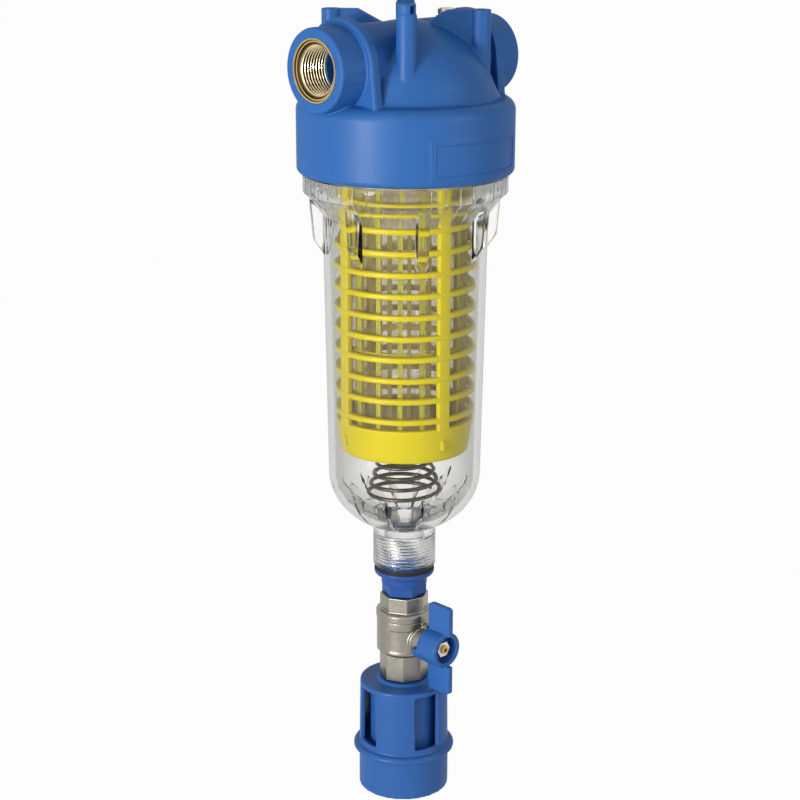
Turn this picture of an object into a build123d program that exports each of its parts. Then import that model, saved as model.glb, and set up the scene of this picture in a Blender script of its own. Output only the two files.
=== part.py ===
from build123d import *
import math
import os

# Self cleaning filter: a blue head with two threaded ports, a clear bowl screwed up into it,
# a yellow mesh cartridge on a spring, and a ball valve with an air-gap cup below.
# Millimetres. Z runs up the axis of the bowl, and the origin is the centre of the drain spigot's end.
# The ports lie along X, and the valve's stem points along -Y.

# Clearances
slide_gap = 0.3
thread_gap = 0.12
shaft_gap = 0.05
face_gap = 0.1

# Drain cup
spigot_r = 25.0
spigot_wall = 2.2
spigot_length = 22.2
cup_flange_r = 28.1
cup_flange_h = 3.6
cup_r = 24.4
cup_wall = 2.0
cup_wall_h = 37.6
cup_lid_h = 3.0
cup_boss_r = 15.0
cup_boss_h = 1.4
cup_bevel = 0.7
cup_flange_bevel = 1.4
cup_draft = 0.5
window_count = 4
window_angle = 36.0
window_sill = 3.2
window_turn = -100.5
funnel_r = 16.5
funnel_wall = 2.0
funnel_mouth_z = 14.0
drain_bore_r = 6.5

# Ball valve
valve_length = 49.4
valve_flats = 24.8
valve_thread_r = 9.32
valve_thread_h = 10.4
barrel_r = 15.1
barrel_low = 8.0
barrel_high = 11.0
barrel_step = 0.4
barrel_taper_h = 2.0
cap_flange_r = 15.5
cap_flange_h = 4.8
cap_flange_bevel = 1.0
cap_turn = 8.0
ball_r = 10.5
ball_bore_r = 6.5
chamber_r = 11.3
cap_joint_r = 12.8
cap_nose = 4.0
seat_inner_r = 7.2
seat_outer_r = 10.2
seat_low = 11.0
seat_high = 6.0
seat_gap = 0.03
recess_turn = -165.0
recess_angle = 70.0
recess_depth = 0.45
recess_h = 13.0

# Stem, along -Y from the ball; each reach is measured from the valve's axis
stem_r = 3.0
stem_end_r = 2.3
stem_flats = 4.6
stem_foot_r = 4.6
stem_foot_reach = 11.4
stem_foot_h = 1.4
washer_h = 0.5
tang_width = 2.4
tang_length = 7.0
tang_depth = 3.5
boss_r = 7.9
boss_reach = 19.2
groove_reach = 15.4
groove_width = 1.7
groove_depth = 0.75
stem_reach = 33.0
stem_hole_r = 1.1
stem_hole_depth = 2.5

# Handle and nut
hub_r = 10.0
hub_reach = 20.2
hub_h = 13.8
hub_floor_h = 7.0
hub_recess_r = 7.4
hub_round = 0.8
wing_reach = 21.0
wing_width = 16.0
wing_span = 25.2
wing_thick = 3.2
wing_corner = 2.0
stop_skirt_h = 4.4
stop_skirt_wall = 1.6
stop_lug_turn = 78.0
stop_lug_angle = 18.0
stop_lug_r = 10.4
stop_lug_h = 4.0
handle_travel = 90.0
stop_play = 1.0
nut_flats = 8.0
nut_flange_r = 5.3
nut_flange_h = 1.1
nut_h = 4.4

# Drain adapter
adapter_hex_flats = 21.5
adapter_hex_h = 6.2
adapter_collar_r = 12.6
adapter_collar_h = 5.2
adapter_flange_r = 16.5
adapter_flange_h = 3.2
adapter_round = 1.9
adapter_nipple_h = 10.0
adapter_bore_r = 6.8
adapter_tail_h = 9.6
adapter_seal_h = 2.5
adapter_seal_r = 16.3

# Bowl
neck_r = 17.05
neck_thread_r = 13.2
neck_thread_h = 18.5
neck_round = 1.2
neck_throat_r = 11.0
round_rise = 54.0
round_depth = 33.5
bowl_r_high = 43.4
bowl_draft = 2.4
bowl_wall = 3.5
wall_length = 141.0
shoulder_h = 12.3
shoulder_bulge = 0.46
shoulder_inset = 2.9
shoulder_drop = 3.0
shoulder_rise = 1.1
flange_width = 2.5
flange_h = 8.7
bowl_thread_r = 51.0
bowl_thread_h = 27.2
bowl_thread_wall = 4.4
flute_count = 42
flute_depth = 0.3
flute_r = 0.8
lug_count = 8
lug_turn = -122.5
lug_width = 5.6
lug_top_reach = 7.5
lug_low_reach = 5.2
lug_top_drop = 0.6
lug_corner_drop = 24.9
lug_end_drop = 32.8
lug_round = 1.2
lug_sink = 0.6
fin_count = 12
fin_turn = -118.5
fin_thick = 1.6
fin_tip_inset = 4.6
fin_tip_drop = 6.0
fin_tip_h = 3.0
fin_seat_r = 23.0
fin_seat_inner_r = 17.5
fin_seat_drop = 16.0
fin_foot_r = 12.0
fin_foot_drop = 26.0
fin_root = 1.0
bowl_seal_h = 2.5
bowl_seal_width = 3.2
bowl_seal_inset = 0.4

# Spring
wire_r = 1.1
wire_sides = 8
spring_low_r = 20.4
spring_high_r = 12.0
spring_h = 29.7
spring_turns = 5.0

# Cartridge
cap_low_inset = 3.1
cap_high_inset = 0.7
cap_h = 18.7
cap_floor = 3.0
cap_round = 1.8
cap_draft = 4.0
cap_boss_r = 10.6
cap_boss_wall = 1.6
cap_boss_h = 2.0
cap_pip_width = 2.2
cap_pip_h = 5.5
cap_pip_depth = 0.8
ring_gap = 0.2
ring_count = 13
ring_step = 11.14
ring_first = 4.8
ring_h = 3.0
bar_count = 4
bar_turn = -100.5
bar_width = 6.8
bar_inset = 0.4
mesh_inset = 3.7
mesh_wall = 0.7
core_depth = 2.4
core_rib_count = 18
core_rib_turn = -137.8
core_rib_width = 2.4
core_ring_h = 3.0
core_bay_count = 3
cartridge_length = 172.0
collar_disc_h = 3.0
collar_skirt_h = 8.0
collar_drop = 3.0
collar_inset = 0.4
collar_sleeve_h = 9.0
collar_sleeve_wall = 3.4
spigot_overlap = 6.0
cartridge_seal_h = 2.0
cartridge_seal_width = 1.8
cartridge_seal_rise = 1.5

# Head
head_gap = 0.8
skirt_wall = 5.2
skirt_h = 32.4
skirt_foot_round = 3.0
shoulder_round = 6.5
dome_r = 47.0
dome_h = 38.7
dome_wall = 4.0
ledge_width = 5.6
port_rise = 56.3
port_r = 21.0
port_reach = 62.0
port_round = 1.2
port_bore_r = 11.5
collar_r = 27.0
collar_reach = 46.2
collar_thick = 5.4
collar_round = 1.4
collar_sink = 3.0
duct_r = 14.5
outlet_tube_r = 14.0
outlet_bore_r = 10.5
post_x = 25.9
post_y = 27.7
post_r = 5.15
post_rise = 43.9
post_root = 9.0
post_hole_r = 2.1
post_hole_depth = 18.0
pip_r = 4.6
pip_h = 5.6
pip_slot_width = 3.0
pip_slot_h = 3.8
web_thick = 4.6
web_flat_r = 24.5
web_foot_r = 12.0
web_rise = 23.2
web_sink = 1.5
web_arch = 1.0
panel_angle = 62.0
panel_h = 20.0
panel_rise = 3.4
panel_proud = 0.4
vent_x = 28.7
vent_boss_r = 5.3
vent_boss_rise = 0.5
vent_screw_r = 2.95
vent_screw_length = 9.0
vent_head_r = 4.5
vent_head_h = 2.6
vent_head_bevel = 0.5
vent_slot_width = 1.2
vent_slot_depth = 1.2
vent_seal_h = 1.0
vent_seal_r = 4.2

# Brass inserts, with the minor diameter of a three-quarter inch pipe thread
insert_r = 15.9
insert_lock_r = 16.9
insert_length = 18.0
insert_bore_r = 12.06
insert_mouth_r = 14.9
insert_mouth_h = 2.4
insert_lock_places = (4.0, 11.0)
insert_lock_h = 3.0

# Heights, each from the piece below it, and the widths that follow from the bowl's thread and wall
cup_top_z = spigot_length + cup_flange_h + cup_wall_h
valve_low_z = cup_top_z + cup_boss_h + 5 * face_gap
valve_z = valve_low_z + valve_length / 2
valve_top_z = valve_low_z + valve_length
adapter_hex_z = valve_top_z + 3 * face_gap
adapter_collar_z = adapter_hex_z + adapter_hex_h
adapter_flange_z = adapter_collar_z + adapter_collar_h
adapter_top_z = adapter_flange_z + adapter_flange_h
neck_z = adapter_top_z + adapter_seal_h
round_z = neck_z + round_rise
shoulder_z = round_z + wall_length
flange_z = shoulder_z + shoulder_h
flange_top_z = flange_z + flange_h
bowl_top_z = flange_top_z + bowl_thread_h
seat_z = round_z - fin_seat_drop
cartridge_z = seat_z + spring_h + 2 * face_gap
cap_top_z = cartridge_z + cap_h
cartridge_top_z = cartridge_z + cartridge_length
skirt_z = flange_top_z + head_gap
ledge_z = bowl_top_z + bowl_seal_h + face_gap
shoulder_low_z = skirt_z + skirt_h
dome_z = shoulder_low_z + shoulder_round
port_z = skirt_z + port_rise
post_top_z = dome_z + post_rise
vent_boss_z = port_z + port_r + vent_boss_rise
outlet_tube_z = cartridge_top_z - spigot_overlap
head_bore_r = bowl_thread_r + slide_gap
skirt_r = head_bore_r + skirt_wall
flange_r = bowl_thread_r + flange_width
bowl_r_low = bowl_r_high - bowl_draft
lug_top_r = bowl_r_high + lug_top_reach
lug_low_r = bowl_r_high + lug_low_reach
fin_tip_r = bowl_r_low - fin_tip_inset
ring_r = bowl_r_low - bowl_wall - ring_gap
bar_r = ring_r - bar_inset
mesh_r = ring_r - mesh_inset
cap_low_r = ring_r - cap_low_inset
cap_high_r = ring_r - cap_high_inset


def flat(radius, height):
    """A point of a turned outline, in the XZ plane."""
    return Vector(radius, 0, height)


def round_corner(radius, height, size, start, sweep):
    """Arc of a turned outline about (radius, height), from start through sweep degrees."""
    return Plane.XZ * CenterArc((radius, height), size, start, sweep)


def bowl_arc(wide, tall, start_r, end_r):
    """Lower arc of an upright ellipse on the axis, at the bowl's round bottom, between two radii."""
    first = -math.degrees(math.acos(start_r / wide))
    last = -math.degrees(math.acos(end_r / wide))
    return Plane.XZ * EllipticalCenterArc((0, round_z), wide, tall, first, arc_size=last - first)


def dome_curve(inset):
    """Arc of the dome, part of a ball whose centre lies below the dome's foot, set in by a wall."""
    arc_r = (dome_r**2 + dome_h**2) / (2 * dome_h)
    start = math.degrees(math.asin((arc_r - dome_h) / arc_r))
    return round_corner(0, dome_z + dome_h - arc_r, arc_r - inset, start, 90 - start)


def outline(*pieces):
    """Closed face in the XZ plane: points and curves in order, joined by straight lines."""
    edges = []
    ends = []
    for piece in pieces:
        if isinstance(piece, tuple):
            piece = flat(*piece)
        if isinstance(piece, Vector):
            ends.append((piece, piece))
        else:
            ends.append((piece @ 0, piece @ 1))
            edges.append(piece)
    for here, there in zip(ends, ends[1:] + ends[:1]):
        if (here[1] - there[0]).length > 1e-6:
            edges.append(Line(here[1], there[0]))
    return make_face(edges)


def turned(*pieces):
    """Solid made by turning a closed outline of (radius, height) points and curves about Z."""
    return revolve(outline(*pieces), Axis.Z)


def tube(outer, inner, low, high):
    """Plain ring about Z between two heights."""
    return turned((inner, low), (outer, low), (outer, high), (inner, high))


def rod(radius, low, high):
    """Plain round bar on Z between two heights."""
    return Pos(0, 0, low) * extrude(Circle(radius), high - low)


def sector(outer, inner, low, high, start, sweep):
    """Part of a ring about Z, from start through sweep degrees."""
    face = outline((inner, low), (outer, low), (outer, high), (inner, high))
    return Rot(0, 0, start) * revolve(face, Axis.Z, revolution_arc=sweep)


def around(shape, count, turn=0.0):
    """Copies of a shape that starts on +X, spread evenly about Z."""
    return [Rot(0, 0, turn + step * 360 / count) * shape for step in range(count)]


def radial_plate(points, thick):
    """Flat plate that stands on a radius: a (radius, height) outline with its middle in the XZ plane."""
    return extrude(outline(*points), thick / 2, both=True)


def octagon(low, high, turn):
    """Octagonal bar on Z, with a corner at the given angle."""
    face = Rot(0, 0, turn) * RegularPolygon(valve_flats / 2, 8, major_radius=False)
    return Pos(0, 0, low) * extrude(face, high - low)


def write(name, solids):
    """Writes one sub-part to its own file, as one solid or as a group of separate ones."""
    shape = solids if not isinstance(solids, list) else Compound(children=solids)
    export_step(shape, os.path.join("parts", name + ".step"))


# On the stem plane local X is the part's X, local Y is Z, and local Z points out along the stem
stem_plane = Plane(origin=(0, 0, valve_z), x_dir=(1, 0, 0), z_dir=(0, -1, 0))


def insert_outline(inner):
    """Outline of a brass insert from its face inwards, with two locking collars."""
    points = [(insert_r, 0.0)]
    for place in insert_lock_places:
        points.append((insert_r, place))
        points.append((insert_lock_r, place))
        points.append((insert_lock_r, place + insert_lock_h))
        points.append((insert_r, place + insert_lock_h))
    points.append((insert_r, insert_length))
    return points + inner


def port_plane(side):
    """Plane on a port's face, looking into the head; side is -1 for the inlet and 1 for the outlet."""
    return Plane(origin=(side * port_reach, 0, port_z), z_dir=(-side, 0, 0))


def make_insert(side):
    """Brass insert: mouth chamfer and plain bore at the thread's minor diameter."""
    bore = [
        (insert_bore_r, insert_length),
        (insert_bore_r, insert_mouth_h),
        (insert_mouth_r, 0.0),
    ]
    return port_plane(side) * turned(*insert_outline(bore))


def insert_socket(side):
    """The space that an insert fills, solid to its axis."""
    return port_plane(side) * turned(*insert_outline([(0.0, insert_length), (0.0, 0.0)]))


def make_head_shell():
    """Skirt, rounded shoulder and dome, solid inside."""
    foot_r = skirt_r - skirt_foot_round
    top_r = skirt_r - shoulder_round
    return turned(
        (0, skirt_z),
        (head_bore_r, skirt_z),
        round_corner(foot_r, skirt_z + skirt_foot_round, skirt_foot_round, -90, 90),
        round_corner(top_r, shoulder_low_z, shoulder_round, 0, 90),
        dome_curve(0),
    )


def make_head_cavity():
    """Threaded mouth, seal ledge and the hollow under the dome."""
    return turned(
        (0, skirt_z - 1),
        (head_bore_r, skirt_z - 1),
        (head_bore_r, ledge_z),
        (head_bore_r - ledge_width, ledge_z),
        dome_curve(dome_wall),
    )


def make_port(side):
    """Port barrel and the arched collar plate behind it."""
    barrel = fillet(Cylinder(port_r, port_reach).edges().group_by(Axis.Z)[-1], port_round)
    barrel = Pos(side * port_reach / 2, 0, port_z) * Rot(0, side * 90, 0) * barrel
    plate_h = port_z - dome_z + collar_sink
    plate_face = Circle(collar_r) + Pos(0, -plate_h / 2) * Rectangle(2 * collar_r, plate_h)
    plate = extrude(plate_face, collar_thick)
    plate = fillet(plate.faces().sort_by(Axis.Z)[-1].edges(), collar_round)
    place = Plane(
        origin=(side * (collar_reach - collar_thick), 0, port_z), x_dir=(0, side, 0), z_dir=(side, 0, 0)
    )
    return [barrel, place * plate]


def make_post(x_side, y_side):
    """Bracket post with a radial web, arched on the outlet side; two opposite posts carry a pip."""
    reach = math.hypot(post_x, post_y)
    turn = math.degrees(math.atan2(y_side * post_y, x_side * post_x))
    post = Pos(x_side * post_x, y_side * post_y) * rod(post_r, dome_z + post_root, post_top_z)
    web_low = dome_z + web_rise
    foot = flat(web_foot_r, dome_z + dome_h - web_sink)
    corner = flat(web_flat_r, post_top_z)
    bend = (foot + corner) / 2 + flat(-web_arch, web_arch) * (1 if x_side > 0 else 0)
    slope = ThreePointArc(corner, bend, foot) if x_side > 0 else Line(corner, foot)
    web = radial_plate([(web_foot_r, web_low), (reach, web_low), (reach, post_top_z), slope], web_thick)
    pieces = [post, Rot(0, 0, turn) * web]
    if x_side == y_side:
        pieces.append(Pos(x_side * post_x, y_side * post_y) * rod(pip_r, post_top_z, post_top_z + pip_h))
    return pieces


def post_cuts(x_side, y_side):
    """Screw hole of a post, and the side slot of a pip."""
    place = Pos(x_side * post_x, y_side * post_y)
    cuts = [place * rod(post_hole_r, post_top_z - post_hole_depth, post_top_z + pip_h)]
    if x_side == y_side:
        slot = Pos(pip_r / 2, 0, post_top_z + pip_h / 2) * Box(pip_r, pip_slot_width, pip_slot_h)
        cuts.append(place * slot)
    return cuts


def make_head():
    """Moulded head with its ports, posts, outlet elbow and bores."""
    body = make_head_shell()
    for side in (-1, 1):
        body += make_port(side)
        for y_side in (-1, 1):
            body += make_post(side, y_side)
    body += Pos(vent_x, 0) * rod(vent_boss_r, dome_z, vent_boss_z)
    body += sector(
        skirt_r + panel_proud,
        skirt_r - 1,
        skirt_z + panel_rise,
        skirt_z + panel_rise + panel_h,
        -90 - panel_angle / 2,
        panel_angle,
    )
    elbow = Pos(dome_r / 2, 0, port_z) * Rot(0, 90, 0) * Cylinder(duct_r, dome_r)
    elbow += Pos(0, 0, port_z) * Sphere(duct_r)
    elbow += rod(outlet_tube_r, outlet_tube_z, port_z)
    body -= make_head_cavity() - elbow
    bore_length = port_reach - dome_r / 2
    inlet = Pos(-port_reach + bore_length / 2, 0, port_z)
    body -= inlet * Rot(0, 90, 0) * Cylinder(port_bore_r, bore_length)
    body -= Pos(port_reach / 2, 0, port_z) * Rot(0, 90, 0) * Cylinder(port_bore_r, port_reach)
    body -= Pos(0, 0, port_z) * Sphere(port_bore_r)
    body -= rod(outlet_bore_r, outlet_tube_z, port_z)
    for side in (-1, 1):
        body -= insert_socket(side)
        for y_side in (-1, 1):
            body -= post_cuts(side, y_side)
    body -= Pos(vent_x, 0) * rod(vent_screw_r + shaft_gap, port_z, vent_boss_z)
    return body


def make_vent_screw():
    """Slotted bleed screw, its head above the ring on the boss."""
    head_z = vent_boss_z + vent_seal_h + 2 * face_gap
    screw = rod(vent_screw_r, head_z - vent_screw_length, head_z)
    head = rod(vent_head_r, head_z, head_z + vent_head_h)
    screw += chamfer(head.edges().group_by(Axis.Z)[-1], vent_head_bevel)
    slot = Pos(0, 0, head_z + vent_head_h - vent_slot_depth / 2)
    screw -= slot * Box(2 * vent_head_r, vent_slot_width, vent_slot_depth)
    return Pos(vent_x, 0) * screw


def make_vent_seal():
    """Ring between the vent boss and the screw's head."""
    low = vent_boss_z + face_gap
    return Pos(vent_x, 0) * tube(vent_seal_r, vent_screw_r + shaft_gap, low, low + vent_seal_h)


def make_bowl():
    """Clear bowl: thread, fluted flange, drafted wall, round bottom, fins, lugs and neck."""
    inner_low_r = bowl_r_low - bowl_wall
    inner_high_r = bowl_r_high - bowl_wall
    inner_depth = round_depth - bowl_wall
    mouth_r = bowl_thread_r - bowl_thread_wall
    shoulder_top_r = flange_r - shoulder_inset
    rise = shoulder_h - shoulder_drop
    shoulder_mid = flat(
        bowl_r_high + (shoulder_top_r - bowl_r_high) * shoulder_bulge, shoulder_z + rise * (1 - shoulder_bulge)
    )
    shoulder_top = flat(shoulder_top_r, shoulder_z + rise)
    shoulder = ThreePointArc(flat(bowl_r_high, shoulder_z), shoulder_mid, shoulder_top)
    shell = turned(
        (neck_thread_r, neck_z),
        round_corner(neck_r - neck_round, neck_z + neck_round, neck_round, -90, 90),
        bowl_arc(bowl_r_low, round_depth, neck_r, bowl_r_low),
        shoulder,
        (flange_r, flange_z),
        (flange_r, flange_top_z),
        (bowl_thread_r, flange_top_z),
        (bowl_thread_r, bowl_top_z),
        (mouth_r, bowl_top_z),
        (mouth_r, flange_z + flange_h / 3),
        (inner_high_r, shoulder_z + shoulder_rise),
        bowl_arc(inner_low_r, inner_depth, inner_low_r, neck_throat_r),
        (neck_throat_r, neck_z + neck_thread_h),
        (neck_thread_r, neck_z + neck_thread_h),
    )
    flute = Pos(flange_r + flute_r - flute_depth, 0) * rod(flute_r, flange_z - 1, flange_top_z + 1)
    shell -= around(flute, flute_count)
    wall_r = bowl_r_high - bowl_wall / 2
    lug = radial_plate(
        [
            (wall_r, flange_z - lug_top_drop),
            (lug_top_r, flange_z - lug_top_drop),
            (lug_low_r, flange_z - lug_corner_drop),
            (bowl_r_high - lug_sink, flange_z - lug_end_drop),
            (wall_r, flange_z - lug_end_drop),
        ],
        lug_width,
    )
    long_edges = lug.edges().filter_by(
        lambda edge: edge.center().X > bowl_r_high + lug_round and edge.length > lug_width
    )
    lug = fillet(long_edges, lug_round)
    shell += around(lug, lug_count, lug_turn)
    tip_z = round_z - fin_tip_drop
    fin = radial_plate(
        [
            (fin_foot_r, round_z - fin_foot_drop),
            (fin_seat_inner_r, seat_z),
            (fin_seat_r, seat_z),
            (fin_tip_r, tip_z),
            (fin_tip_r, tip_z - fin_tip_h),
            (fin_seat_r, round_z - inner_depth),
            (fin_foot_r, round_z - round_depth),
        ],
        fin_thick,
    )
    bottom = turned(
        bowl_arc(bowl_r_low - fin_root, round_depth - fin_root, neck_throat_r, bowl_r_low - fin_root),
        (neck_throat_r, round_z),
    )
    return shell + [blade & bottom for blade in around(fin, fin_count, fin_turn)]


def make_bowl_seal():
    """Ring squeezed between the bowl's rim and the head's ledge."""
    outer = bowl_thread_r - bowl_seal_inset
    return tube(outer, outer - bowl_seal_width, bowl_top_z, bowl_top_z + bowl_seal_h)


def make_cage():
    """Cage: bottom cap, rings and four bars."""
    inner_r = mesh_r + face_gap
    cage = turned(
        (0, cartridge_z),
        round_corner(cap_low_r - cap_round, cartridge_z + cap_round, cap_round, -90, 90 - cap_draft),
        (cap_high_r, cap_top_z),
        (inner_r, cap_top_z),
        (inner_r, cartridge_z + cap_floor),
        (0, cartridge_z + cap_floor),
    )
    cage += tube(cap_boss_r, cap_boss_r - cap_boss_wall, cartridge_z - cap_boss_h, cartridge_z)
    top = cartridge_top_z - collar_drop - collar_skirt_h
    bar_mid = (inner_r + bar_r) / 2
    bar = Pos(bar_mid, 0, (cap_top_z + top) / 2) * Box(bar_r - inner_r, bar_width, top - cap_top_z + 2)
    bar &= tube(bar_r, inner_r, cap_top_z - 1, top)
    pip = Pos(cap_high_r - cap_pip_depth, 0, cap_top_z - cap_h / 2)
    pip *= Box(3 * cap_pip_depth, cap_pip_width, cap_pip_h)
    cage += around(bar, bar_count, bar_turn)
    cage += around(pip, bar_count, bar_turn)
    for step in range(ring_count):
        middle = cap_top_z + ring_first + step * ring_step
        cage += tube(ring_r, inner_r, middle - ring_h / 2, middle + ring_h / 2)
    return cage


def make_mesh():
    """Fine mesh, as the sleeve that it forms round the core."""
    top = cartridge_top_z - collar_drop - collar_disc_h
    return tube(mesh_r, mesh_r - mesh_wall, cartridge_z + cap_floor, top)


def make_core():
    """Windowed sleeve of ribs and rings that holds the mesh out."""
    outer = mesh_r - mesh_wall
    inner = outer - core_depth
    low = cartridge_z + cap_floor
    high = cartridge_top_z - collar_drop - collar_disc_h
    bay = (high - low - core_ring_h) / core_bay_count
    rib_angle = math.degrees(core_rib_width / outer)
    gap_angle = 360 / core_rib_count - rib_angle
    core = tube(outer, inner, low, high)
    for step in range(core_bay_count):
        floor = low + core_ring_h + step * bay
        window = sector(outer + 1, inner - 1, floor, floor + bay - core_ring_h, rib_angle / 2, gap_angle)
        core -= around(window, core_rib_count, core_rib_turn)
    return core


def make_collar():
    """Top of the cartridge: skirt over the mesh, disc, and a sleeve that slides on the outlet tube."""
    disc_top = cartridge_top_z - collar_drop
    disc_low = disc_top - collar_disc_h
    bore_r = outlet_tube_r + slide_gap
    sleeve_r = bore_r + collar_sleeve_wall
    sleeve_low = cartridge_top_z - collar_sleeve_h
    groove_r = outlet_tube_r + shaft_gap + cartridge_seal_width + face_gap
    seal_z = outlet_tube_z + cartridge_seal_rise
    return turned(
        (mesh_r + face_gap, disc_top - collar_skirt_h),
        (ring_r - collar_inset, disc_top - collar_skirt_h),
        (ring_r - collar_inset, disc_top),
        (sleeve_r, disc_top),
        (sleeve_r, cartridge_top_z),
        (bore_r, cartridge_top_z),
        (bore_r, seal_z + cartridge_seal_h + face_gap),
        (groove_r, seal_z + cartridge_seal_h + face_gap),
        (groove_r, seal_z - face_gap),
        (bore_r, seal_z - face_gap),
        (bore_r, sleeve_low),
        (sleeve_r, sleeve_low),
        (sleeve_r, disc_low),
        (mesh_r + face_gap, disc_low),
    )


def make_cartridge_seal():
    """Ring in the sleeve's groove, running on the outlet tube."""
    inner = outlet_tube_r + shaft_gap
    low = outlet_tube_z + cartridge_seal_rise
    return tube(inner + cartridge_seal_width, inner, low, low + cartridge_seal_h)


def make_spring():
    """Conical wire spring between the bowl's fins and the cartridge; its round wire has eight flats."""
    rise = spring_h - 2 * wire_r
    cone = math.degrees(math.atan((spring_low_r - spring_high_r) / rise))
    start_z = seat_z + face_gap + wire_r
    path = Pos(0, 0, start_z) * Helix(rise / spring_turns, rise, spring_low_r, cone_angle=-cone)
    section = Plane(origin=path @ 0, z_dir=path % 0) * RegularPolygon(wire_r, wire_sides)
    return sweep(section, path, transition=Transition.RIGHT)


def make_adapter():
    """Reducing nipple with a hexagon, a collar and a sealing flange."""
    body = turned(
        (adapter_bore_r, adapter_hex_z - adapter_tail_h),
        (valve_thread_r - thread_gap, adapter_hex_z - adapter_tail_h),
        (valve_thread_r - thread_gap, adapter_collar_z),
        (adapter_collar_r, adapter_collar_z),
        (adapter_collar_r, adapter_flange_z),
        round_corner(
            adapter_flange_r - adapter_round, adapter_flange_z + adapter_round, adapter_round, -90, 90
        ),
        (adapter_flange_r, adapter_top_z),
        (neck_thread_r - thread_gap, adapter_top_z),
        (neck_thread_r - thread_gap, adapter_top_z + adapter_nipple_h),
        (adapter_bore_r, adapter_top_z + adapter_nipple_h),
    )
    hexagon = RegularPolygon(adapter_hex_flats / 2, 6, major_radius=False)
    hexagon = Pos(0, 0, adapter_hex_z) * extrude(Rot(0, 0, cap_turn) * hexagon, adapter_hex_h)
    return body + (hexagon - rod(adapter_bore_r, adapter_hex_z, adapter_collar_z))


def make_adapter_seal():
    """Black ring squeezed between the neck and the adapter's flange."""
    return tube(adapter_seal_r, neck_thread_r + thread_gap, adapter_top_z, neck_z)


def make_valve_body():
    """Lower octagon, barrel and stem boss of the ball valve."""
    low = valve_z - barrel_low
    high = valve_z + barrel_high
    body = octagon(valve_low_z, low, -90)
    body += turned(
        (0, low - barrel_taper_h),
        (valve_flats / 2 - barrel_step, low - barrel_taper_h),
        (barrel_r, low),
        (barrel_r, high),
        (0, high),
    )
    body += stem_plane * rod(boss_r, 0, boss_reach)
    lug = stem_plane * sector(
        stop_lug_r,
        boss_r - 1,
        boss_reach - stop_lug_h,
        boss_reach,
        stop_lug_turn,
        stop_lug_angle,
    )
    body += lug
    body -= sector(
        barrel_r + 1,
        barrel_r - recess_depth,
        valve_z - recess_h / 2,
        valve_z + recess_h / 2,
        recess_turn,
        recess_angle,
    ) - stem_plane * rod(boss_r + 1, 0, boss_reach)
    thread_top = valve_low_z + valve_thread_h
    pocket_low = valve_z - seat_low - face_gap
    body -= turned(
        (0, valve_low_z),
        (valve_thread_r, valve_low_z),
        (valve_thread_r, thread_top),
        (seat_inner_r, thread_top),
        (seat_inner_r, pocket_low),
        (chamber_r, pocket_low),
        (chamber_r, high - cap_nose - face_gap),
        (cap_joint_r, high - cap_nose - face_gap),
        (cap_joint_r, high),
        (0, high),
    )
    foot_end = stem_foot_reach + stem_foot_h + washer_h + 3 * face_gap
    body -= stem_plane * rod(stem_foot_r + face_gap, 0, foot_end)
    body -= stem_plane * rod(stem_r + shaft_gap, 0, boss_reach)
    return body


def make_end_cap():
    """Upper octagon with its flange, and the nose that holds the upper seat."""
    low = valve_z + barrel_high
    cap = octagon(low + cap_flange_h, valve_top_z, cap_turn - 90)
    cap += turned(
        (0, low),
        (cap_flange_r, low),
        (cap_flange_r, low + cap_flange_h - cap_flange_bevel),
        (cap_flange_r - cap_flange_bevel, low + cap_flange_h),
        (0, low + cap_flange_h),
    )
    cap += rod(cap_joint_r - thread_gap, low - cap_nose, low)
    thread_low = valve_top_z - valve_thread_h
    pocket_high = valve_z + seat_low + face_gap
    cap -= turned(
        (0, low - cap_nose),
        (seat_outer_r + face_gap, low - cap_nose),
        (seat_outer_r + face_gap, pocket_high),
        (seat_inner_r, pocket_high),
        (seat_inner_r, thread_low),
        (valve_thread_r, thread_low),
        (valve_thread_r, valve_top_z),
        (0, valve_top_z),
    )
    return cap


def make_seat(side):
    """Ring with a hollow face that fits the ball; side is -1 below the ball and 1 above it."""
    ring = tube(seat_outer_r, seat_inner_r, seat_high, seat_low) - Sphere(ball_r + seat_gap)
    return Pos(0, 0, valve_z) * (ring if side > 0 else Rot(180, 0, 0) * ring)


def make_ball():
    """Ball with its waterway and the slot for the stem."""
    ball = Sphere(ball_r) - Cylinder(ball_bore_r, 3 * ball_r)
    slot_floor = stem_foot_reach - tang_depth - face_gap
    slot = Pos(0, -(slot_floor + ball_r) / 2, 0)
    ball -= slot * Box(tang_width + face_gap, ball_r - slot_floor, 2 * ball_r)
    return Pos(0, 0, valve_z) * ball


def make_stem():
    """Stem: tang, blow-out foot, sealed shaft, flats for the handle and a threaded end."""
    foot_top = stem_foot_reach + stem_foot_h
    tang = Pos(0, 0, stem_foot_reach - tang_depth / 2) * Box(tang_width, tang_length, tang_depth)
    groove_end = groove_reach + groove_width
    stem = turned(
        (0, stem_foot_reach),
        (stem_foot_r, stem_foot_reach),
        (stem_foot_r, foot_top),
        (stem_r, foot_top),
        (stem_r, groove_reach),
        (stem_r - groove_depth, groove_reach),
        (stem_r - groove_depth, groove_end),
        (stem_r, groove_end),
        (stem_r, hub_reach + hub_floor_h - face_gap),
        (stem_end_r, hub_reach + hub_floor_h - face_gap),
        (stem_end_r, stem_reach),
        (0, stem_reach),
    )
    stem -= rod(stem_hole_r, stem_reach - stem_hole_depth, stem_reach)
    for side in (-1, 1):
        flat_cut = Pos(side * (stem_flats / 2 + stem_r), 0, hub_reach + hub_floor_h / 2)
        stem -= flat_cut * Box(2 * stem_r, 4 * stem_r, hub_floor_h)
    return stem_plane * (stem + tang)


def make_stem_seal():
    """Ring in the stem's groove."""
    inner = stem_r - groove_depth
    low = groove_reach + face_gap
    return stem_plane * tube(stem_r + shaft_gap / 2, inner, low, low + groove_width - 2 * face_gap)


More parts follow.
